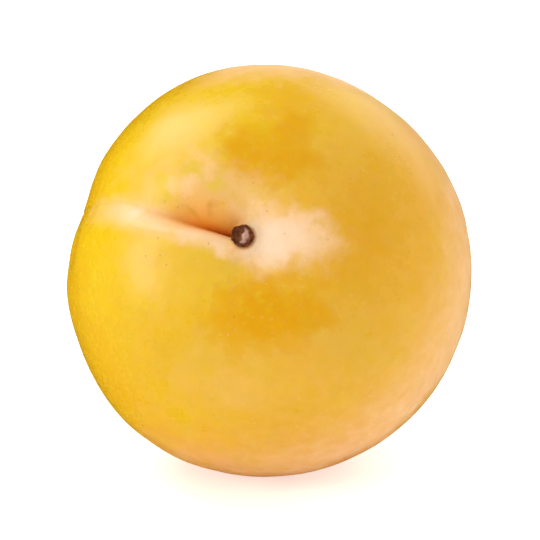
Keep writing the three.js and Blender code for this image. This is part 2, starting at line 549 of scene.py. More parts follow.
def grain_group():
    """Fine uneven grain at two scales: the height is mostly the fine one, the shade the coarse."""
    inputs = {"Place": Vector(), "Coarse": 3.0, "Fine": 0.5, "Seed": 0.0}
    outputs = {"Height": "NodeSocketFloat", "Shade": "NodeSocketFloat"}
    plan = new_plan("grain", "ShaderNodeTree", inputs, outputs)
    seed = plan.given("Seed")
    place = plan.vector("ADD", plan.given("Place").socket, plan.joined(seed, seed, seed))
    coarse = plan.noise(place, 1.0 / plan.given("Coarse"), 3.0)
    fine = plan.noise(place, 1.0 / plan.given("Fine"), 3.0, 0.6)
    height = coarse * LESSER_GRAIN + fine * MAIN_GRAIN
    plan.result(Height=height, Shade=coarse * MAIN_GRAIN + fine * LESSER_GRAIN)
    return plan.tree


def new_material(name):
    material = bpy.data.materials.new(name)
    material.use_nodes = True
    plan = Plan(material.node_tree)
    return material, plan, material.node_tree.nodes["Principled BSDF"]


def attribute(plan, name, output):
    return plan.add("ShaderNodeAttribute", attribute_name=name).outputs[output]


def place_in_mm(plan):
    """The piece's own coordinates, in millimetres."""
    own = plan.add("ShaderNodeTexCoord").outputs["Object"]
    return plan.scaled(own, 1.0 / MM)


# Colours are linear. Each is named for what it is on the plum, or for the painted shade, sheen or
# reflection that it stands for. The cork, the bark, the break and its fibres each run from a shaded
# colour to a worn one.
YELLOW = (0.80, 0.515, 0.003, 1)
AMBER = (0.785, 0.405, 0.006, 1)
DEEP_AMBER = (0.755, 0.360, 0.001, 1)
DULL_GOLD = (0.70, 0.42, 0.008, 1)
# Painted reflection: the deeper gold along the edge on the suture side.
REFLECTED_GOLD = (0.77, 0.43, 0.002, 1)
# Painted shade: the tan in the stem hollow above the fold.
DUSKY_SHADE_TAN = (0.72, 0.42, 0.12, 1)
ORANGE = (0.72, 0.21, 0.008, 1)
GREENISH = (0.76, 0.52, 0.010, 1)
CREAM = (0.94, 0.58, 0.28, 1)
PALE_CREAM = (0.96, 0.70, 0.48, 1)
SCAR_BROWN = (0.20, 0.07, 0.02, 1)
SEAM_BROWN = (0.58, 0.22, 0.02, 1)
MARK_BROWN = (0.62, 0.27, 0.012, 1)
# Painted shade: the orange in the hollow beside the fold and round the stub.
HOLLOW_SHADE_ORANGE = (0.85, 0.375, 0.050, 1)
# Painted shade: the deep orange down in the fold.
FOLD_SHADE = (0.87, 0.26, 0.005, 1)
# The bloom's pale colour, also painted as sheen along the rim and as haze round the highlights.
BLOOM_AND_SHEEN = (0.98, 0.585, 0.275, 1)
CORKY_BROWN = (0.50, 0.21, 0.02, 1)
CORK_SHADED = (0.70, 0.33, 0.07, 1)
CORK_WORN = (0.90, 0.52, 0.17, 1)
BARK_SHADED = (0.060, 0.012, 0.003, 1)
BARK_WORN = (0.25, 0.065, 0.014, 1)
BREAK_SHADED = (0.15, 0.040, 0.014, 1)
BREAK_WORN = (0.54, 0.22, 0.10, 1)
FIBRES_SHADED = (0.50, 0.26, 0.18, 1)
FIBRES_WORN = (0.80, 0.52, 0.39, 1)

SIDE_SPREAD = 25.0  # turns a direction into millimetres across the fruit

# Places on the stem end, in millimetres across it: the middle toward the suture and toward the
# lipped cheek, the half sizes, how soft and how ragged the edge is, and the weight.
RUBBED_PLACES = (
    {"at": (-2.4, 10.2), "half": (3.6, 3.3), "soft": 0.45, "rough": 0.30, "weight": 0.75},
    {"at": (-6.2, 8.4), "half": (4.8, 3.9), "soft": 0.45, "rough": 0.30, "weight": 1.0},
    {"at": (-9.9, 6.2), "half": (4.0, 3.2), "soft": 0.45, "rough": 0.30, "weight": 0.9},
    {"at": (-12.4, 1.0), "half": (2.6, 2.4), "soft": 0.70, "rough": 0.40, "weight": 0.6},
    {"at": (2.2, -10.2), "half": (3.8, 2.7), "soft": 0.60, "rough": 0.50, "weight": 0.9},
    {"at": (-3.0, -10.6), "half": (3.6, 2.8), "soft": 0.60, "rough": 0.50, "weight": 0.9},
    {"at": (-1.0, -14.0), "half": (3.4, 2.8), "soft": 0.70, "rough": 0.50, "weight": 0.8},
    {"at": (0.8, -19.0), "half": (4.4, 2.6), "soft": 0.90, "rough": 0.50, "weight": 0.45},
    {"at": (-13.6, -4.6), "half": (4.2, 8.5), "soft": 0.90, "rough": 0.30, "weight": 0.60},
)
DULL_PLACES = (
    {"at": (-1.0, 17.5), "half": (13.0, 5.5), "soft": 0.80, "rough": 0.30, "weight": 0.6},
    {"at": (-15.5, 8.0), "half": (5.0, 7.0), "soft": 0.80, "rough": 0.30, "weight": 0.6},
)
# The first three ovals are painted haze round the two highlights; the last two are bloom dabs.
HAZE_AND_HIGHLIGHT_PLACES = (
    {"at": (13.5, -9.0), "half": (6.5, 4.8), "soft": 0.90, "rough": 0.30, "weight": 0.17},
    {"at": (16.4, -3.0), "half": (4.8, 2.8), "soft": 0.70, "rough": 0.30, "weight": 0.20},
    {"at": (9.6, 5.4), "half": (6.8, 4.4), "soft": 0.90, "rough": 0.30, "weight": 0.14},
    {"at": (1.6, 15.8), "half": (1.8, 3.4), "soft": 0.80, "rough": 0.50, "weight": 0.10},
    {"at": (-3.4, 16.8), "half": (3.4, 2.4), "soft": 0.80, "rough": 0.50, "weight": 0.12},
)
STAR_PLACES = (
    {"at": (-4.6, -2.2), "half": (6.2, 3.8), "soft": 0.52, "rough": 0.50, "weight": 1.0},
    {"at": (3.6, -3.9), "half": (8.4, 4.4), "soft": 0.55, "rough": 0.50, "weight": 0.64},
    {"at": (-2.0, 0.6), "half": (4.8, 3.8), "soft": 0.52, "rough": 0.50, "weight": 1.0},
    {"at": (-1.7, -4.3), "half": (3.4, 2.4), "soft": 0.60, "rough": 0.45, "weight": 0.85},
)
CORE_PLACES = ({"at": (-3.0, -0.7), "half": (4.9, 3.2), "soft": 0.60, "rough": 0.40, "weight": 1.0},)
YELLOW_MARKS = (
    {"at": (12.3, -3.7), "half": (1.1, 1.5), "soft": 0.60, "rough": 0.60, "weight": 0.75},
    {"at": (8.9, -6.2), "half": (1.3, 0.9), "soft": 0.60, "rough": 0.60, "weight": 0.65},
    {"at": (5.8, -6.0), "half": (1.3, 1.1), "soft": 0.70, "rough": 0.60, "weight": 0.55},
)
PINK_MARKS = (
    {"at": (8.7, -4.8), "half": (0.8, 0.8), "soft": 0.80, "rough": 0.35, "weight": 0.45},
    {"at": (7.2, -7.2), "half": (1.1, 0.8), "soft": 0.80, "rough": 0.35, "weight": 0.35},
)
BROWN_MARKS = (
    {"at": (8.7, -1.9), "half": (0.8, 0.6), "soft": 0.80, "rough": 0.30, "weight": 0.45},
    {"at": (5.3, -2.8), "half": (0.7, 0.6), "soft": 0.80, "rough": 0.30, "weight": 0.50},
)

# The skin's noises, by name. The strokes are drawn out by a turn and a stretch.
CLOUDY_NOISES = {
    "clouds": {"scale": 2.1, "detail": 3.0, "roughness": 0.55},
    "olive": {"scale": 5.0, "detail": 4.0, "roughness": 0.6},
    "lumps": {"scale": 7.0, "detail": 2.0, "roughness": 0.5},
    "spots": {"scale": 7.5, "detail": 3.0, "roughness": 0.6},
    "mottle": {"scale": 9.0, "detail": 5.0, "roughness": 0.68},
    "ragged": {"scale": 13.0, "detail": 3.0, "roughness": 0.6},
    "blotch": {"scale": 15.0, "detail": 3.0, "roughness": 0.6},
}
STROKES = {
    "streaks": {"turn": (0.5, 0.3, 0.8), "stretch": (4, 14, 4), "detail": 4.0, "roughness": 0.6},
    "dabs": {"turn": (0.9, -0.4, 0.5), "stretch": (5, 13, 7), "detail": 3.0, "roughness": 0.55},
}
SLOW_WANDER = {"scale": 4.0, "reach": 3.2}
QUICK_WANDER = {"scale": 13.0, "reach": 1.3}

# Sides of the fruit: the direction that each lies in, how far the noises shift its edge, and the
# distances along that direction at which it sets in and is whole, all in millimetres.
# The two cleared sides take away the bloom and the painted rim sheen; the upper and lower edges carry
# painted rim sheen.
CLEARED_SIDE = {
    "toward": (0.92, 0.38, 0.0),
    "uneven": {"blotch": 2.0, "spots": 5.0},
    "edge": (13.0, 19.0),
}
CLEARED_SHOULDER = {
    "toward": (0.94, -0.34, 0.0),
    "uneven": {"blotch": 2.0, "spots": 3.0},
    "edge": (16.5, 21.5),
}
LOWER_EDGE = {
    "toward": (-0.15, 0.6, -0.56),
    "uneven": {"blotch": 1.5},
    "edge": (5.5, 12.5),
}
UPPER_EDGE = {
    "toward": (0.28, -0.94, 0.0),
    "uneven": {"blotch": 1.5},
    "edge": (18.5, 23.8),
}
UPPER_EDGE_FAR = {"clouds": 9.0, "mottle": 5.0}  # how far the noises shift it on the far side

# Round patches anywhere: where each lies and its reach in degrees, its edge, and its weight.
RIPE_PATCHES = (
    {"turn": 106, "from_stem": 128, "reach": 48, "soft": 0.7, "rough": 0.6, "grain": 3.0, "weight": 1.0},
    {"turn": -140, "from_stem": 128, "reach": 40, "soft": 0.8, "rough": 0.7, "grain": 3.0, "weight": 0.8},
)
FRUIT_TIP = {"turn": 0, "from_stem": 173}
TIP_HALO = FRUIT_TIP | {"reach": 6.5, "soft": 0.8, "rough": 0.5, "grain": 14.0, "weight": 0.45}
TIP_SCAR = FRUIT_TIP | {"reach": 1.5, "soft": 0.5, "rough": 0.5, "grain": 60.0, "weight": 0.9}

# Bands along the suture: the middle and width across it in millimetres, how ragged the band is,
# and the shares of the radius over which it comes in along +X and, where it has them, along +Z.
# Painted shade: the first two bands lie in the stem hollow beside the fold; the seam line and scuffs are
# marks on the skin.
DUSKY_SHADE_BAND = {"middle": -4.2, "width": 3.0, "rough": 0.0, "along": (0.84, 0.95), "opens": (-0.04, 0.12)}
HOLLOW_SHADE_BAND = {"middle": -1.6, "width": 2.4, "rough": 0.0, "along": (0.86, 0.97), "opens": (-0.02, 0.10)}
SEAM_LINE = {"middle": 0.0, "width": 0.42, "rough": 0.25, "along": (-0.85, -0.3), "opens": (0.1, 0.4)}
SCUFF_BAND = {"middle": 0.9, "width": 0.9, "rough": 1.2, "along": None, "opens": (0.3, 0.6)}

# The cream stripe along the lip: its two edges, in millimetres across the suture, how ragged
# each is, and how far along +X it opens.
STRIPE_FOLD_EDGE = (-1.9, 0.8)
STRIPE_FOLD_ROUGH = 1.1
STRIPE_CHEEK_EDGE = (1.3, 4.0)
STRIPE_CHEEK_ROUGH = 0.8
STRIPE_OPENS = (0.0, 0.05)

# Heights along the stem axis, as shares of the radius, over which each effect comes or goes.
FRONT = (0.0, 0.3)
FAR_SIDE = (-0.4, 0.2)
RIM_SHEEN_ALONG = (-0.05, 0.52)
BEHIND = (-0.32, 0.04)
CLEARED_ALONG = (-0.25, 0.25)
NEAR_STEM = (0.80, 0.93)
LINE_TO_STEM = (0.15, 0.45)
STRIPE_ALONG = (0.42, 0.85)
STRIPE_CORE_ALONG = (0.90, 0.97)

# The ground runs from yellow to amber in this direction, over this far each way in millimetres.
# The noises shift it, and more on the far side.
GROUND_TOWARD = (-1.0, 0.2, 0.0)
GROUND_SPREAD = 17.0
GROUND_UNEVEN = {"clouds": 9.0, "mottle": 14.0}
GROUND_UNEVEN_FAR = {"clouds": 8.0, "mottle": 5.0}
RIPE_FRECKLES = 0.5
RIPE_COVER = 0.4
FRECKLE_COVER = 0.5
LINE_COVER = 0.55

# How far the skin is from the stem axis, and how far to the suture side, where the painted reflection in
# deeper gold lies along the edge.
REFLECTION_EDGE = (19.5, 23.5)
REFLECTION_SIDE = (5.0, 15.0)

# Strengths of the noises between which a marking comes in.
OLIVE_START = (-0.1, 0.7)
FRECKLE_START = (-0.2, 0.8)
FLECK_START = (0.0, 0.5)
DAB_START = (0.10, 0.65)
SCUFF_START = (0.1, 0.5)

# Bloom and painted rim sheen: how thick the pale film is in each place, and how uneven each noise makes
# it. The share toward the rim, what the suture side loses of it, and the two edges' shares are painted
# sheen along the rim; the others are bloom.
VEIL_BASE = 0.03
RIM_SHEEN = 0.36
RIM_SHEEN_SLANT = 0.12  # how far the veil's edge leans toward the suture
RIM_SHEEN_LOST_AT_SUTURE = 0.34
VEIL_FAR_CHEEK = 0.08
FAR_CHEEK = (-9.0, 5.0)  # millimetres toward the suture over which the far cheek's veil ends
VEIL_UNEVEN = {"clouds": 0.05, "streaks": 0.14, "mottle": 0.14, "blotch": 0.30}
VEIL_DABS = 0.26
UPPER_EDGE_SHEEN = 0.85
LOWER_EDGE_SHEEN = 0.08
THIN_SHARE = 0.35  # how much of the unevenness and the dabs is left where the veil is thin
BEHIND_LOSS = 0.8
RUBBED_LOSS = 0.96
# The cleared suture side: how much of the bloom and painted rim sheen it takes away, and the share of
# that left behind.
CLEARED_LOSS = 0.93
CLEARED_BEHIND = 0.45

# The cream star and the stripe: how much of the stripe is as pale as the star's core.
STRIPE_CREAM = 0.78
STRIPE_CORE = 0.3
STRIPE_CORE_AT_STEM = 0.7
FLECK_BREAK = 0.75  # how much the flecks break up the cream

# Pores and corky marks: how far apart and how large, in millimetres, and how many of the places
# hold one; and how strongly the pores show in each place.
PORES = {"Spacing": 1.1, "Size": 0.26, "Share": 0.55}
CORKY_MARKS = {"Spacing": 2.3, "Size": 0.24, "Share": 0.16}
PORE_COVER = 0.11
PORE_COVER_RIPE = 0.25
PORE_COVER_BEHIND = 0.12

# The fold's painted shade comes in over these depths of the groove. The skin meets the stub at the rim,
# and is painted with warm shade near it on the suture side and in a narrow ring. All are in millimetres.
FOLD_SHADE_DEPTHS = (1.4, 3.6)
STUB_RIM = 1.5
WARM_WIDTH = 1.0
WARM_RING_WIDTH = 0.4
WARM_TURN = (-1.0, 1.0)  # millimetres toward the suture over which the rim warms
WARM_LEAST = 0.25  # how warm it is on the other side, as a share

# How rough the skin is, what each thing on it adds to that, and how high its fine relief stands.
ROUGH = 0.27
ROUGH_VEIL = 0.20
ROUGH_CREAM = 0.12
ROUGH_RUBBED = -0.06
ROUGH_GRAIN = 0.04
GRAIN_SHADE = 0.08
GRAIN_HEIGHT = 0.009 * MM
PORE_HEIGHT = 0.015 * MM
CORKY_HEIGHT = 0.02 * MM
SKIN_FINISH = {
    "Specular IOR Level": 0.34,
    "Subsurface Weight": 0.25,
    "Subsurface Radius": (1.0, 0.45, 0.1),
    "Subsurface Scale": 2.0 * MM,
}


class Skin:
    """The plum's skin while it is painted: its colour so far, and what the effects share."""

    def __init__(self, plan, patch):
        self.plan = plan
        self.patch = patch
        self.colour = YELLOW
        self.seam = Value(plan, attribute(plan, "seam_mm", "Fac"))
        self.fold = Value(plan, attribute(plan, "fold_mm", "Fac"))
        self.way = attribute(plan, "fruit_way", "Vector")
        self.x, _, self.z = plan.split(self.way)
        self.side = plan.scaled(self.way, SIDE_SPREAD)
        self.side_x, self.side_y, _ = plan.split(self.side)
        self.from_axis = plan.length(plan.joined(self.side_x, self.side_y, 0.0))
        self.front = plan.ramp(self.z, *FRONT)
        self.far = plan.ramp(self.z, *FAR_SIDE, 1.0, 0.0)
        self.near_stem = plan.ramp(self.z, *NEAR_STEM)
        self.noises = {name: plan.noise(self.way, **noise) for name, noise in CLOUDY_NOISES.items()}
        for name, stroke in STROKES.items():
            inputs = {"Vector": self.way, "Rotation": stroke["turn"], "Scale": stroke["stretch"]}
            drawn_out = plan.add("ShaderNodeMapping", inputs).outputs[0]
            self.noises[name] = plan.noise(drawn_out, 1.0, stroke["detail"], stroke["roughness"])
        slow, quick = plan.wander(self.way, **SLOW_WANDER), plan.wander(self.way, **QUICK_WANDER)
        off_x, off_y, _ = plan.split(plan.vector("ADD", slow, quick))
        self.drawn_x, self.drawn_y = self.side_x + off_x, self.side_y + off_y

    def uneven(self, **shares):
        """Some of the noises added up, each with its share."""
        parts = [self.noises[name] * share for name, share in shares.items()]
        return sum(parts[1:], parts[0])

    def paint(self, mask, colour, cover=1.0):
        """Lays a colour over the skin where the mask is, as thickly as cover says."""
        self.colour = self.plan.mixed(mask * cover, self.colour, colour)

    def ovals(self, places):
        """The ovals on the stem end, drawn with a wandering hand."""
        masks = []
        for oval in places:
            across = (self.drawn_x - oval["at"][0]) / oval["half"][0]
            along = (self.drawn_y - oval["at"][1]) / oval["half"][1]
            distance = self.plan.length(self.plan.joined(across, along, 0.0))
            reach = distance + self.uneven(ragged=oval["rough"])
            low, high = 1.0 - oval["soft"], 1.0 + oval["soft"]
            masks.append(self.plan.ramp(reach, low, high, oval["weight"], 0.0))
        return self.plan.most(*masks) * self.front

    def patched(self, place):
        """A ragged round patch."""
        inputs = {
            "Way": self.way,
            "Middle": way_of(place["turn"], place["from_stem"]),
            "Reach": place["reach"] * DEGREE,
            "Softness": place["soft"],
            "Raggedness": place["rough"],
            "Grain": place["grain"],
        }
        return self.plan.placed(self.patch, **inputs)["Mask"] * place["weight"]

    def toward(self, side, shift=0.0):
        """One side of the fruit, with an edge that the noises break up."""
        reach = self.plan.dot(self.side, side["toward"]) + self.uneven(**side["uneven"]) + shift
        return self.plan.ramp(reach, *side["edge"])

    def band(self, places):
        """A band along the suture."""
        across = self.seam - places["middle"] + self.uneven(ragged=places["rough"])
        mask = self.plan.bell(across, places["width"]) * self.plan.ramp(self.x, *places["opens"])
        if places["along"]:
            mask = mask * self.plan.ramp(self.z, *places["along"])
        return mask


def paint_ground(skin):
    """Yellow on the suture side and amber on the other, mottled, blushed on the far side, and a painted
    reflection in deeper gold along the edge on the suture side.
    """
    plan = skin.plan
    shift = skin.uneven(**GROUND_UNEVEN) + skin.uneven(**GROUND_UNEVEN_FAR) * skin.far
    from_suture = plan.dot(skin.side, GROUND_TOWARD) + shift
    skin.paint(plan.ramp(from_suture, -GROUND_SPREAD, GROUND_SPREAD), AMBER)
    skin.paint(plan.ramp(skin.uneven(olive=1.0, mottle=0.4), *OLIVE_START), GREENISH, cover=0.5)
    skin.paint(skin.ovals(DULL_PLACES), DULL_GOLD)
    skin.ripe = plan.most(*(skin.patched(place) for place in RIPE_PATCHES))
    freckled = plan.ramp(skin.ripe * RIPE_FRECKLES + skin.uneven(mottle=1.0), *FRECKLE_START)
    skin.paint(skin.ripe * (RIPE_COVER + freckled * FRECKLE_COVER), ORANGE)
    # Painted reflection: deeper gold along the edge on the suture side.
    edge_reflection = plan.ramp(skin.from_axis + skin.uneven(blotch=1.5, spots=2.0), *REFLECTION_EDGE)
    skin.paint(edge_reflection * plan.ramp(skin.side_x, *REFLECTION_SIDE), REFLECTED_GOLD, cover=0.8)


def cleared_side_mask(skin):
    """The suture side, where the bloom and the painted rim sheen are left off, less so behind."""
    cleared_side = skin.plan.most(skin.toward(CLEARED_SIDE), skin.toward(CLEARED_SHOULDER))
    return cleared_side * skin.plan.ramp(skin.z + skin.uneven(spots=0.3), *CLEARED_ALONG, CLEARED_BEHIND, 1.0)


def paint_bloom_and_sheen(skin):
    """A thin pale film of bloom, streaked, thick on the far cheek and rubbed off in a few places, with
    painted sheen along the rim and the edges and painted haze round the highlights.
    """
    plan = skin.plan
    behind = plan.ramp(skin.z + skin.uneven(clouds=0.35, streaks=0.12), *BEHIND, 1.0, 0.0)
    kept_share = 1.0 - behind * BEHIND_LOSS
    # Painted sheen: a pale band toward the rim, away from the stem end and less toward the suture; the
    # bloom's streaks and dabs are thickest in it.
    rim_sheen_band = skin.z + skin.x * RIM_SHEEN_SLANT + skin.uneven(clouds=0.10, streaks=0.05)
    rim_sheen_band = plan.ramp(rim_sheen_band, *RIM_SHEEN_ALONG, 1.0, 0.0) * kept_share
    far_cheek = plan.ramp(skin.side_x + skin.uneven(clouds=4.0), *FAR_CHEEK, VEIL_FAR_CHEEK, 0.0)
    dabs = plan.ramp(skin.uneven(dabs=1.0), *DAB_START) * VEIL_DABS
    # Painted sheen along the upper and lower edges.
    upper_sheen_edge = skin.toward(UPPER_EDGE, skin.uneven(**UPPER_EDGE_FAR) * skin.far)
    edge_sheen = plan.most(upper_sheen_edge * UPPER_EDGE_SHEEN, skin.toward(LOWER_EDGE) * LOWER_EDGE_SHEEN)
    rubbed = skin.ovals(RUBBED_PLACES)

    # The pale film: bloom, the painted sheen along the rim and edges, and painted haze round the
    # highlights.
    veil = rim_sheen_band * (RIM_SHEEN - skin.x * RIM_SHEEN_LOST_AT_SUTURE) + far_cheek + VEIL_BASE
    veil = veil + (skin.uneven(**VEIL_UNEVEN) + dabs) * (rim_sheen_band + THIN_SHARE)
    veil = veil + skin.ovals(HAZE_AND_HIGHLIGHT_PLACES) + edge_sheen * kept_share
    veil = plan.most(veil, 0.0) * (1.0 - rubbed * RUBBED_LOSS)
    veil = veil * (1.0 - cleared_side_mask(skin) * CLEARED_LOSS)
    skin.paint(rubbed, DEEP_AMBER)
    skin.paint(veil, BLOOM_AND_SHEEN)
    skin.behind, skin.rubbed, skin.veil = behind, rubbed, veil


def paint_star(skin):
    """The cream star round the stem, broken at its edge, and the stripe along the lip."""
    plan, seam = skin.plan, skin.seam
    flecks = plan.ramp(skin.uneven(blotch=1.0), *FLECK_START)
    stripe = plan.ramp(seam + skin.uneven(ragged=STRIPE_FOLD_ROUGH), *STRIPE_FOLD_EDGE)
    cheek_place = seam + skin.uneven(ragged=STRIPE_CHEEK_ROUGH)
    stripe = stripe * plan.ramp(cheek_place, *STRIPE_CHEEK_EDGE, 1.0, 0.0)
    stripe = stripe * plan.ramp(skin.x, *STRIPE_OPENS) * plan.ramp(skin.z, *STRIPE_ALONG)
    stripe_at_stem = stripe * plan.ramp(skin.z, *STRIPE_CORE_ALONG)
    core = plan.most(skin.ovals(CORE_PLACES), stripe * STRIPE_CORE, stripe_at_stem * STRIPE_CORE_AT_STEM)
    broken_away = flecks * (1.0 - core) * FLECK_BREAK
    skin.cream = plan.most(skin.ovals(STAR_PLACES), stripe * STRIPE_CREAM) * (1.0 - broken_away)
    skin.paint(flecks * skin.near_stem, GREENISH, cover=0.5)
    skin.paint(skin.cream, CREAM, cover=0.9)
    skin.paint(core, PALE_CREAM, cover=0.85)


def paint_stem_hollow(skin):
    """Painted shade in the hollow beside the fold and in the deeper fold, small marks, and a warm ring of
    painted shade at the stub.
    """
    plan = skin.plan
    # Painted shade: tan and orange in the hollow beside the fold, and deep orange down in the fold.
    skin.paint(skin.band(DUSKY_SHADE_BAND), DUSKY_SHADE_TAN, cover=0.40)
    skin.paint(skin.band(HOLLOW_SHADE_BAND), HOLLOW_SHADE_ORANGE, cover=0.85)
    skin.paint(plan.ramp(skin.fold, *FOLD_SHADE_DEPTHS), FOLD_SHADE, cover=0.9)
    skin.paint(skin.ovals(PINK_MARKS), CREAM)
    skin.paint(skin.ovals(YELLOW_MARKS), GREENISH)
    skin.paint(skin.ovals(BROWN_MARKS), MARK_BROWN)
    # Painted shade round the stub: wide on the suture side, and a narrow ring all round.
    from_rim = skin.from_axis - STUB_RIM
    on_suture_side = plan.ramp(skin.side_x, *WARM_TURN, WARM_LEAST, 1.0)
    rim_shade_side = plan.bell(from_rim, WARM_WIDTH) * on_suture_side
    ring = plan.most(rim_shade_side, plan.bell(from_rim, WARM_RING_WIDTH))
    skin.paint(ring * skin.front, HOLLOW_SHADE_ORANGE, cover=0.55)


def paint_suture(skin):
    """The suture's fine brown line, and pale scuffs beside it."""
    plan = skin.plan
    line = skin.band(SEAM_LINE) * plan.ramp(skin.z, *LINE_TO_STEM, 1.0, 0.0)
    skin.paint(line * (LINE_COVER + skin.uneven(mottle=0.4)), SEAM_BROWN)
    scuffs = skin.band(SCUFF_BAND) * plan.ramp(skin.uneven(lumps=1.0, ragged=0.4), *SCUFF_START)
    skin.paint(scuffs, PALE_CREAM, cover=0.5)


def paint_dots(skin, pores, corky_marks):
    """Pores all over, and corky marks that crowd round the stem end."""
    cover = PORE_COVER + skin.ripe * PORE_COVER_RIPE + skin.behind * PORE_COVER_BEHIND
    skin.paint(pores * cover, BLOOM_AND_SHEEN)
    skin.paint(corky_marks * skin.near_stem, CORKY_BROWN, cover=0.28)


def skin_material(patch, dots, grain):
    """Waxy skin: yellow to amber, a thin pale bloom with painted rim sheen, painted shade in the stem
    hollow and fold, and a cream star and stripe at the stem.
    """
    material, plan, shader = new_material("plum_skin")
    place = place_in_mm(plan)
    pores = plan.placed(dots, Place=place, **PORES)["Dots"]
    corky_marks = plan.placed(dots, Place=place, **CORKY_MARKS)["Dots"]
    fine = plan.placed(grain, Place=place, Coarse=1.6, Fine=0.5)

    skin = Skin(plan, patch)
    paint_ground(skin)
    paint_bloom_and_sheen(skin)
    paint_star(skin)
    paint_stem_hollow(skin)
    paint_suture(skin)
    skin.paint(skin.patched(TIP_HALO), BLOOM_AND_SHEEN)
    skin.paint(skin.patched(TIP_SCAR), SCAR_BROWN)
    paint_dots(skin, pores, corky_marks)

    plan.feed(shader.inputs["Base Color"], plan.scaled(skin.colour, 1.0 + fine["Shade"] * GRAIN_SHADE))
    rough = ROUGH + skin.veil * ROUGH_VEIL + skin.cream * ROUGH_CREAM
    rough = rough + skin.rubbed * ROUGH_RUBBED + fine["Shade"] * ROUGH_GRAIN
    plan.feed(shader.inputs["Roughness"], rough)
    height = fine["Height"] * GRAIN_HEIGHT + pores * PORE_HEIGHT + corky_marks * CORKY_HEIGHT
    bump = plan.add("ShaderNodeBump", {"Height": height, "Distance": 1.0, "Strength": 1.0})
    plan.feed(shader.inputs["Normal"], bump.outputs[0])
    for name, value in SKIN_FINISH.items():
        shader.inputs[name].default_value = value
    return material


CORK_SHADES = (-0.4, 0.4)  # strengths of the grain between which the cork goes from shaded to worn
CORK_ROUGH = 0.75
CORK_ROUGH_GRAIN = 0.1


def cork_material(grain):
    """Dry tan cork, darker in its hollows."""
    material, plan, shader = new_material("plum_cork")
    fine = plan.placed(grain, Place=place_in_mm(plan), Coarse=0.8, Fine=0.1)
    shade = plan.ramp(fine["Shade"], *CORK_SHADES)
    plan.feed(shader.inputs["Base Color"], plan.mixed(shade, CORK_SHADED, CORK_WORN))
    plan.feed(shader.inputs["Roughness"], CORK_ROUGH + fine["Shade"] * CORK_ROUGH_GRAIN)
    return material


# The dried stub

STUB_LENGTH = 3.6 * MM
STUB_RADIUS = 1.4 * MM
STUB_SIDES = 72
STUB_LEAN = 0.12 * MM
STUB_SEED = 7

# Outline up the bark, over the torn rim and down into the dished break: radius and height as
# shares of the base radius and of the length. The first BARK_RINGS of its points are bark.
STUB_OUTLINE = (
    (1.0, -0.02), (1.03, 0.06), (0.98, 0.16), (0.86, 0.28), (0.79, 0.42), (0.77, 0.56),
    (0.82, 0.70), (0.92, 0.82), (0.99, 0.90), (1.0, 0.955), (0.95, 0.99), (0.86, 1.0),
    (0.77, 0.975), (0.70, 0.925), (0.62, 0.88), (0.50, 0.86), (0.36, 0.865), (0.20, 0.875),
    (0.08, 0.88),
)
BARK_RINGS = 13
BARK_FADE = 3  # rings of the break over which the bark's colour dies away

# Waves round the stub: how many, and how deep as a share of the radius or, for the tears, of the
# length. The tears set in above TEAR_START, and all waves die away inside EVEN_RADIUS.
RIBS = ((5, 0.036), (12, 0.012), (23, 0.010))
TEARS = ((3, 0.045), (7, 0.030), (17, 0.018))
TEAR_START = 0.7
EVEN_RADIUS = 1 / 1.2

# The strand of fibres across the break, as shares of the radius, and its ripples. Its pale colour is
# partly a painted highlight on the break.
STRAND_OFFSET = 0.22
STRAND_WIDTH = 0.34
STRAND_RISE = 0.075
RIPPLE_DEPTH = 0.25
RIPPLE_RATE = 9

# The side of the break that is painted dark with the bark's colour, as painted shade: where it starts,
# how soon it darkens, and how much.
DARK_START = 0.05
DARK_RATE = 2.0
DARKEST = 0.9

# The stub's finish: strengths of the grain between which it goes from shaded to worn, and of the
# strand between which the fibres' colour comes in, how rough it is and how deep its grain.
STUB_SHADES = (-0.4, 0.5)
FIBRES_START = (0.35, 0.8)
FIBRES_UNEVEN = 0.3
STUB_ROUGH = 0.7
STUB_ROUGH_GRAIN = 0.15
STUB_SPECULAR = 0.2
STUB_RELIEF = 0.05 * MM


def waves(angle, kinds, phases):
    """How far the waves stand out at an angle round the stub."""
    return sum(depth * math.cos(count * angle + phase) for (count, depth), phase in zip(kinds, phases))


def strand_at(across, along, phase):
    """The strand of fibres across the break, 0 to 1 and a little over."""
    strand = math.exp(-((across / STUB_RADIUS + STRAND_OFFSET) / STRAND_WIDTH) ** 2)
    return strand * (1 + RIPPLE_DEPTH * math.sin(along / STUB_RADIUS * RIPPLE_RATE + phase))


def bark_at(index, across):
    """How much of the bark's colour a ring has there: all of it outside, some on the break, and more on
    the break's side of painted shade.
    """
    if index < BARK_RINGS:
        return 1.0
    shaded_side = min(DARKEST, max(0.0, (across / STUB_RADIUS - DARK_START) * DARK_RATE))
    return max(shaded_side, 1.0 - (index - BARK_RINGS + 1) / BARK_FADE)


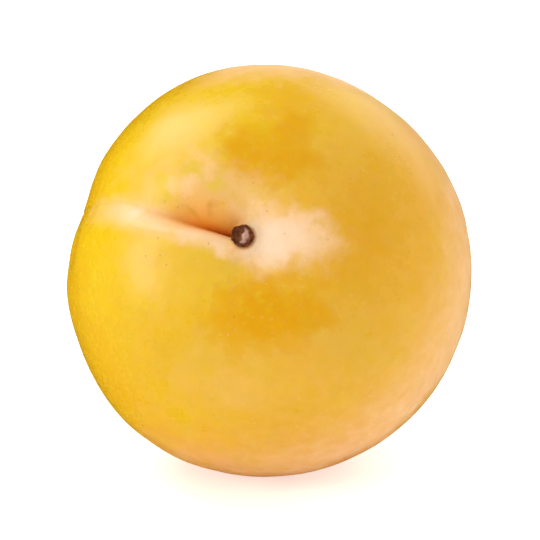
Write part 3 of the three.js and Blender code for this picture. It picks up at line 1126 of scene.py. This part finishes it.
def stub_rings(bm, phases):
    """The rings of points up the stub and into its break, with how barky and fibrous each is."""
    bark = bm.verts.layers.float.new("bark")
    pith = bm.verts.layers.float.new("pith")
    rings = []
    for index, (radius, height) in enumerate(STUB_OUTLINE):
        wavy = min(1.0, radius / EVEN_RADIUS)
        torn_share = max(0.0, (height - TEAR_START) / (1 - TEAR_START))
        ring = []
        for k in range(STUB_SIDES):
            angle = 2 * math.pi * k / STUB_SIDES
            reach = STUB_RADIUS * radius * (1 + waves(angle, RIBS, phases) * wavy)
            across, along = reach * math.cos(angle), reach * math.sin(angle)
            torn = waves(angle, TEARS, phases[len(RIBS):]) * torn_share * wavy
            strand = strand_at(across, along, phases[0]) if index >= BARK_RINGS else 0.0
            up = STUB_LENGTH * (height + torn + STRAND_RISE * strand)
            vert = bm.verts.new((across + STUB_LEAN * height ** 2, along, up))
            vert[bark] = bark_at(index, across)
            vert[pith] = strand
            ring.append(vert)
        rings.append(ring)
    strand = strand_at(0, 0, phases[0])
    middle = bm.verts.new((STUB_LEAN, 0, STUB_LENGTH * (STUB_OUTLINE[-1][1] + STRAND_RISE * strand)))
    middle[pith] = strand
    bottom = bm.verts.new((0, 0, STUB_LENGTH * STUB_OUTLINE[0][1]))
    bottom[bark] = 1.0
    return rings, middle, bottom


def stub_piece(material):
    """The stub: a shrunken collar, a waist, and a torn end with pale fibres in a dark rim."""
    draw = random.Random(STUB_SEED)
    phases = [draw.uniform(0, 2 * math.pi) for _ in RIBS + TEARS]
    bm = bmesh.new()
    rings, middle, bottom = stub_rings(bm, phases)
    for k in range(STUB_SIDES):
        after = (k + 1) % STUB_SIDES
        for lower, upper in zip(rings, rings[1:]):
            bm.faces.new((lower[k], lower[after], upper[after], upper[k]))
        bm.faces.new((rings[-1][k], rings[-1][after], middle))
        bm.faces.new((rings[0][after], rings[0][k], bottom))
    mesh = bpy.data.meshes.new("stub")
    bm.to_mesh(mesh)
    bm.free()
    for face in mesh.polygons:
        face.use_smooth = True
    piece = bpy.data.objects.new("plum_stub", mesh)
    bpy.context.scene.collection.objects.link(piece)
    mesh.materials.append(material)
    return piece


def stub_material(grain):
    """Dry stem: dark wrinkled bark, a brown break with painted shade on one side, and a paler strand of
    fibres across it, partly a painted highlight.
    """
    material, plan, shader = new_material("plum_stub")
    bark = Value(plan, attribute(plan, "bark", "Fac"))
    pith = Value(plan, attribute(plan, "pith", "Fac"))
    fine = plan.placed(grain, Place=place_in_mm(plan), Coarse=0.5, Fine=0.12)
    shade = plan.ramp(fine["Shade"], *STUB_SHADES)
    bark_colour = plan.mixed(shade, BARK_SHADED, BARK_WORN)
    break_colour = plan.mixed(shade, BREAK_SHADED, BREAK_WORN)
    fibre_colour = plan.mixed(shade, FIBRES_SHADED, FIBRES_WORN)
    strand = plan.ramp(pith + fine["Shade"] * FIBRES_UNEVEN, *FIBRES_START)
    face_colour = plan.mixed(strand, break_colour, fibre_colour)
    plan.feed(shader.inputs["Base Color"], plan.mixed(bark, face_colour, bark_colour))
    plan.feed(shader.inputs["Roughness"], STUB_ROUGH + fine["Shade"] * STUB_ROUGH_GRAIN)
    shader.inputs["Specular IOR Level"].default_value = STUB_SPECULAR
    bump = plan.add("ShaderNodeBump", {"Height": fine["Height"] * STUB_RELIEF, "Distance": 1.0})
    plan.feed(shader.inputs["Normal"], bump.outputs[0])
    return material


# Putting the pieces together


def resting_turn():
    """The turn from the fruit's frame to its resting posture."""
    return Matrix.Rotation(TURN, 4, "Z") @ Matrix.Rotation(TIP, 4, "X") @ Matrix.Rotation(ROLL, 4, "Z")


patch = patch_group()
dots = dots_group()
grain = grain_group()
skin = skin_material(patch, dots, grain)
fruit_low, fruit_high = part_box("fruit")
fruit_sizes = FRUIT_FORM | {"Box low": fruit_low, "Box high": fruit_high, "Skin": skin}
fruit = grown("plum_fruit", fruit_tree(skin), fruit_sizes)
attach(fruit, "root")
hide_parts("fruit")

cork = cork_material(grain)
points = grown("plum_corky_points", corky_points_tree(cork), CORKY_POINTS | {"Cork": cork}, fruit.data)
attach(points, "root")

stub_low, stub_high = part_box("stem_stub")
stub = stub_piece(stub_material(grain))
stub_middle = Matrix.Translation((stub_low + stub_high) / 2)
stub.data.transform(stub_middle @ resting_turn() @ Matrix.Translation((0, 0, -STUB_LENGTH / 2)))
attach(stub, "root")
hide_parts("stem_stub")


# Floor, light and camera

CAMERA_ELEVATION = 18 * DEGREE
CAMERA_DISTANCE = 600 * MM
CAMERA_LENS = 317.6  # millimetres, as Blender takes it
AIM_HEIGHT = 25.26 * MM

# Places and sizes are in metres, and powers in watts.
LIGHTS = (
    {"name": "key", "place": (-0.355, 0.245, 0.49), "size": (0.42, 0.36), "power": 1.45},
    {"name": "side", "place": (-0.57, -0.24, 0.21), "size": (0.26, 0.26), "power": 0.95},
    {"name": "rim", "place": (0.34, 0.48, 0.30), "size": (0.5, 0.4), "power": 0.65},
)

FLOOR_SIDE = 6.0
FLOOR_GLOW = 0.29
SHADOW_LIFT = 0.24  # the floor's extra glow to the camera alone, which thins the contact shadow
FLOOR_FINISH = {
    "Base Color": (0.93, 0.93, 0.93, 1),
    "Roughness": 0.9,
    "Specular IOR Level": 0.1,
    "Emission Color": (1, 1, 1, 1),
}

# The studio's walls: how bright each is, and the directions over which one turns into the next.
WALL_FRONT = 0.72
WALL_BACK = 1.25
WALL_LEFT = 0.5
CEILING = 1.0
FRONT_TO_BACK = (-0.9, 0.6)
LEFT_TO_MIDDLE = (-0.8, 0.1)
WALL_TO_CEILING = (0.3, 0.95)

# A warm patch low on the left wall, toward the back.
WARM_WALL = (0.75, 0.40, 0.06, 1)
WARM_TO_MIDDLE = (-0.9, 0.1)
WARM_TO_BACK = (-0.5, 0.3)
WARM_TO_CEILING = (0.1, 0.6)


def camera_ray(plan):
    """1 for what the camera sees by itself and 0 for what lights the pieces."""
    return Value(plan, plan.add("ShaderNodeLightPath").outputs["Is Camera Ray"])


def floor_piece():
    bpy.ops.mesh.primitive_plane_add(size=FLOOR_SIDE)
    floor = bpy.context.object
    floor.name = "floor"
    material, plan, shader = new_material("floor_paint")
    for name, value in FLOOR_FINISH.items():
        shader.inputs[name].default_value = value
    plan.feed(shader.inputs["Emission Strength"], FLOOR_GLOW + camera_ray(plan) * SHADOW_LIFT)
    floor.data.materials.append(material)
    floor.visible_glossy = False


def soft_light(name, place, size, power, target):
    light = bpy.data.lights.new(name, "AREA")
    light.shape = "RECTANGLE"
    light.size, light.size_y = size
    light.energy = power
    lamp = bpy.data.objects.new(name, light)
    bpy.context.scene.collection.objects.link(lamp)
    lamp.location = place
    lamp.rotation_mode = "QUATERNION"
    lamp.rotation_quaternion = (target - Vector(place)).to_track_quat("-Z", "Y")


def studio_walls():
    """White to the camera; to the pieces, soft walls that are brightest behind."""
    world = bpy.data.worlds.new("studio")
    bpy.context.scene.world = world
    world.use_nodes = True
    plan = Plan(world.node_tree)
    seen = camera_ray(plan)
    x, y, z = plan.split(plan.add("ShaderNodeTexCoord").outputs["Generated"])
    walls = plan.ramp(y, *FRONT_TO_BACK, WALL_FRONT, WALL_BACK)
    walls = walls * plan.ramp(x, *LEFT_TO_MIDDLE, WALL_LEFT, 1.0)
    around = walls + (CEILING - walls) * plan.ramp(z, *WALL_TO_CEILING)
    warm = plan.ramp(x, *WARM_TO_MIDDLE, 1.0, 0.0) * plan.ramp(y, *WARM_TO_BACK)
    warm = warm * plan.ramp(z, *WARM_TO_CEILING, 1.0, 0.0)
    background = world.node_tree.nodes["Background"].inputs
    plan.feed(background["Strength"], around + (1.0 - around) * seen)
    plan.feed(background["Color"], plan.mixed(warm * (1.0 - seen), (1, 1, 1, 1), WARM_WALL))
    world.cycles_visibility.glossy = False


def camera(target):
    back = Vector((0, -math.cos(CAMERA_ELEVATION), math.sin(CAMERA_ELEVATION)))
    data = bpy.data.cameras.new("camera")
    data.lens = CAMERA_LENS
    view = bpy.data.objects.new("camera", data)
    bpy.context.scene.collection.objects.link(view)
    view.location = target + back * CAMERA_DISTANCE
    view.rotation_mode = "QUATERNION"
    view.rotation_quaternion = (-back).to_track_quat("-Z", "Y")
    bpy.context.scene.camera = view


target = Vector((0, 0, AIM_HEIGHT))
floor_piece()
for light in LIGHTS:
    soft_light(**light, target=target)
studio_walls()
camera(target)
bpy.context.scene.view_settings.view_transform = "Standard"
